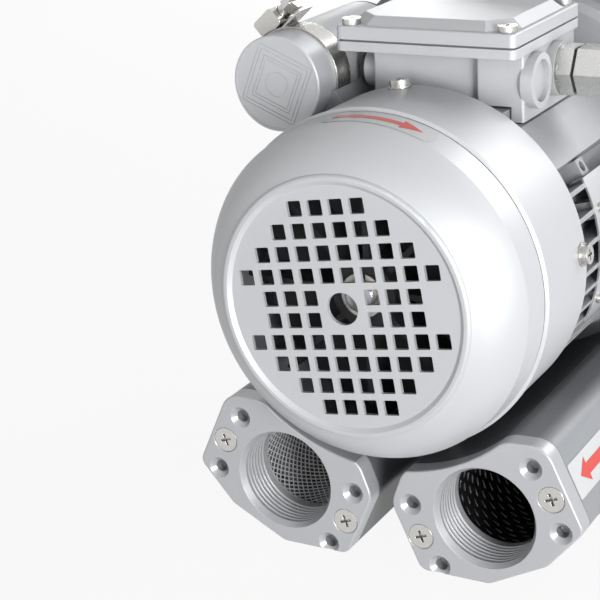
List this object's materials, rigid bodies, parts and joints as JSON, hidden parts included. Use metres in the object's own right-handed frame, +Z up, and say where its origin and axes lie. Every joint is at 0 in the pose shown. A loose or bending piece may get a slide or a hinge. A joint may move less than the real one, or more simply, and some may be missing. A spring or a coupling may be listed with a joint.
{
  "type": "side channel blower",
  "caption": "Single-phase side channel blower: finned motor with fan cover and terminal box, round impeller casing, and two silencer ducts with threaded ports side by side.",
  "frame": {"origin": "centre of the four foot holes, on the mounting plane under the foot", "axes": "X across the machine, Y along the shaft from the fan cover to the impeller casing, +Z up; the ports open towards -Y"},
  "size_m": [0.233, 0.2365, 0.229],
  "materials": {
    "silver_paint": "satin silver paint over cast and pressed metal",
    "zinc_steel": "bright zinc plate",
    "bearing_steel": "ground steel",
    "bare_aluminium": "machined aluminium",
    "mesh_steel": "woven wire and perforated sheet",
    "core_steel": "varnished laminations",
    "winding_copper": "enamelled copper",
    "brass": "plain brass",
    "nickel_brass": "nickel plated brass",
    "black_plastic": "moulded",
    "black_rubber": "matt",
    "gasket_paper": "pressed fibre sheet",
    "grey_foam": "open cell foam"
  },
  "bodies": {
    "housing": {"base_foot": "silver_paint", "blower_casing": "silver_paint", "box_screws": "zinc_steel", "capacitor_cell": "black_plastic", "capacitor_cover": "silver_paint", "capacitor_cradle": "silver_paint", "capacitor_end_cap": "black_plastic", "casing_cover": "silver_paint", "casing_gasket": "gasket_paper", "casing_screws": "zinc_steel", "clamp_band": "zinc_steel", "clamp_housing": "zinc_steel", "clamp_screw": "zinc_steel", "fan_cover": "silver_paint", "fan_cover_screws": "zinc_steel", "fan_end_shield": "silver_paint", "flange_gaskets": "gasket_paper", "flange_screws": "zinc_steel", "foot_screws": "zinc_steel", "front_bearing_outer_ring": "bearing_steel", "gland_body": "nickel_brass", "gland_cap": "nickel_brass", "gland_washer": "zinc_steel", "gland_seal": "black_rubber", "inlet_port_flange": "silver_paint", "inlet_silencer": "silver_paint", "inlet_silencer_foam": "grey_foam", "inlet_silencer_tube": "mesh_steel", "lead_grommet": "black_rubber", "lid_gasket": "black_rubber", "motor_frame": "silver_paint", "nameplate": "bare_aluminium", "nameplate_rivets": "zinc_steel", "outlet_port_flange": "silver_paint", "outlet_silencer": "silver_paint", "outlet_silencer_foam": "grey_foam", "outlet_silencer_tube": "black_plastic", "rear_bearing_outer_ring": "bearing_steel", "shaft_seal": "black_rubber", "silencer_screws": "zinc_steel", "stator_core": "core_steel", "stator_winding": "winding_copper", "terminal_block": "black_plastic", "terminal_box_base": "silver_paint", "terminal_box_gasket": "black_rubber", "terminal_box_lid": "silver_paint", "terminal_studs": "brass", "tie_bolts": "zinc_steel", "wave_washer": "zinc_steel"},
    "rotor": {"motor_shaft": "bearing_steel", "rotor_core": "core_steel", "cooling_fan": "black_plastic", "fan_circlip": "zinc_steel", "shaft_key": "bearing_steel", "impeller": "bare_aluminium", "impeller_bolt": "zinc_steel", "front_bearing_inner_ring": "bearing_steel", "rear_bearing_inner_ring": "bearing_steel"},
    "front_cage": {"front_bearing_balls": "bearing_steel"},
    "rear_cage": {"rear_bearing_balls": "bearing_steel"}
  },
  "joints": [
    {"name": "rotor_spin", "type": "hinge", "parent": "housing", "child": "rotor", "pos_m": [0, 0, 0.123], "axis": [0, 1, 0], "continuous": true},
    {"name": "front_cage_spin", "type": "hinge", "parent": "housing", "child": "front_cage", "pos_m": [0, 0, 0.123], "axis": [0, 1, 0], "continuous": true},
    {"name": "rear_cage_spin", "type": "hinge", "parent": "housing", "child": "rear_cage", "pos_m": [0, 0, 0.123], "axis": [0, 1, 0], "continuous": true}
  ],
  "couplings": [
    {"joint": "front_cage_spin", "follows": "rotor_spin", "ratio": 0.38096},
    {"joint": "rear_cage_spin", "follows": "rotor_spin", "ratio": 0.38165}
  ]
}
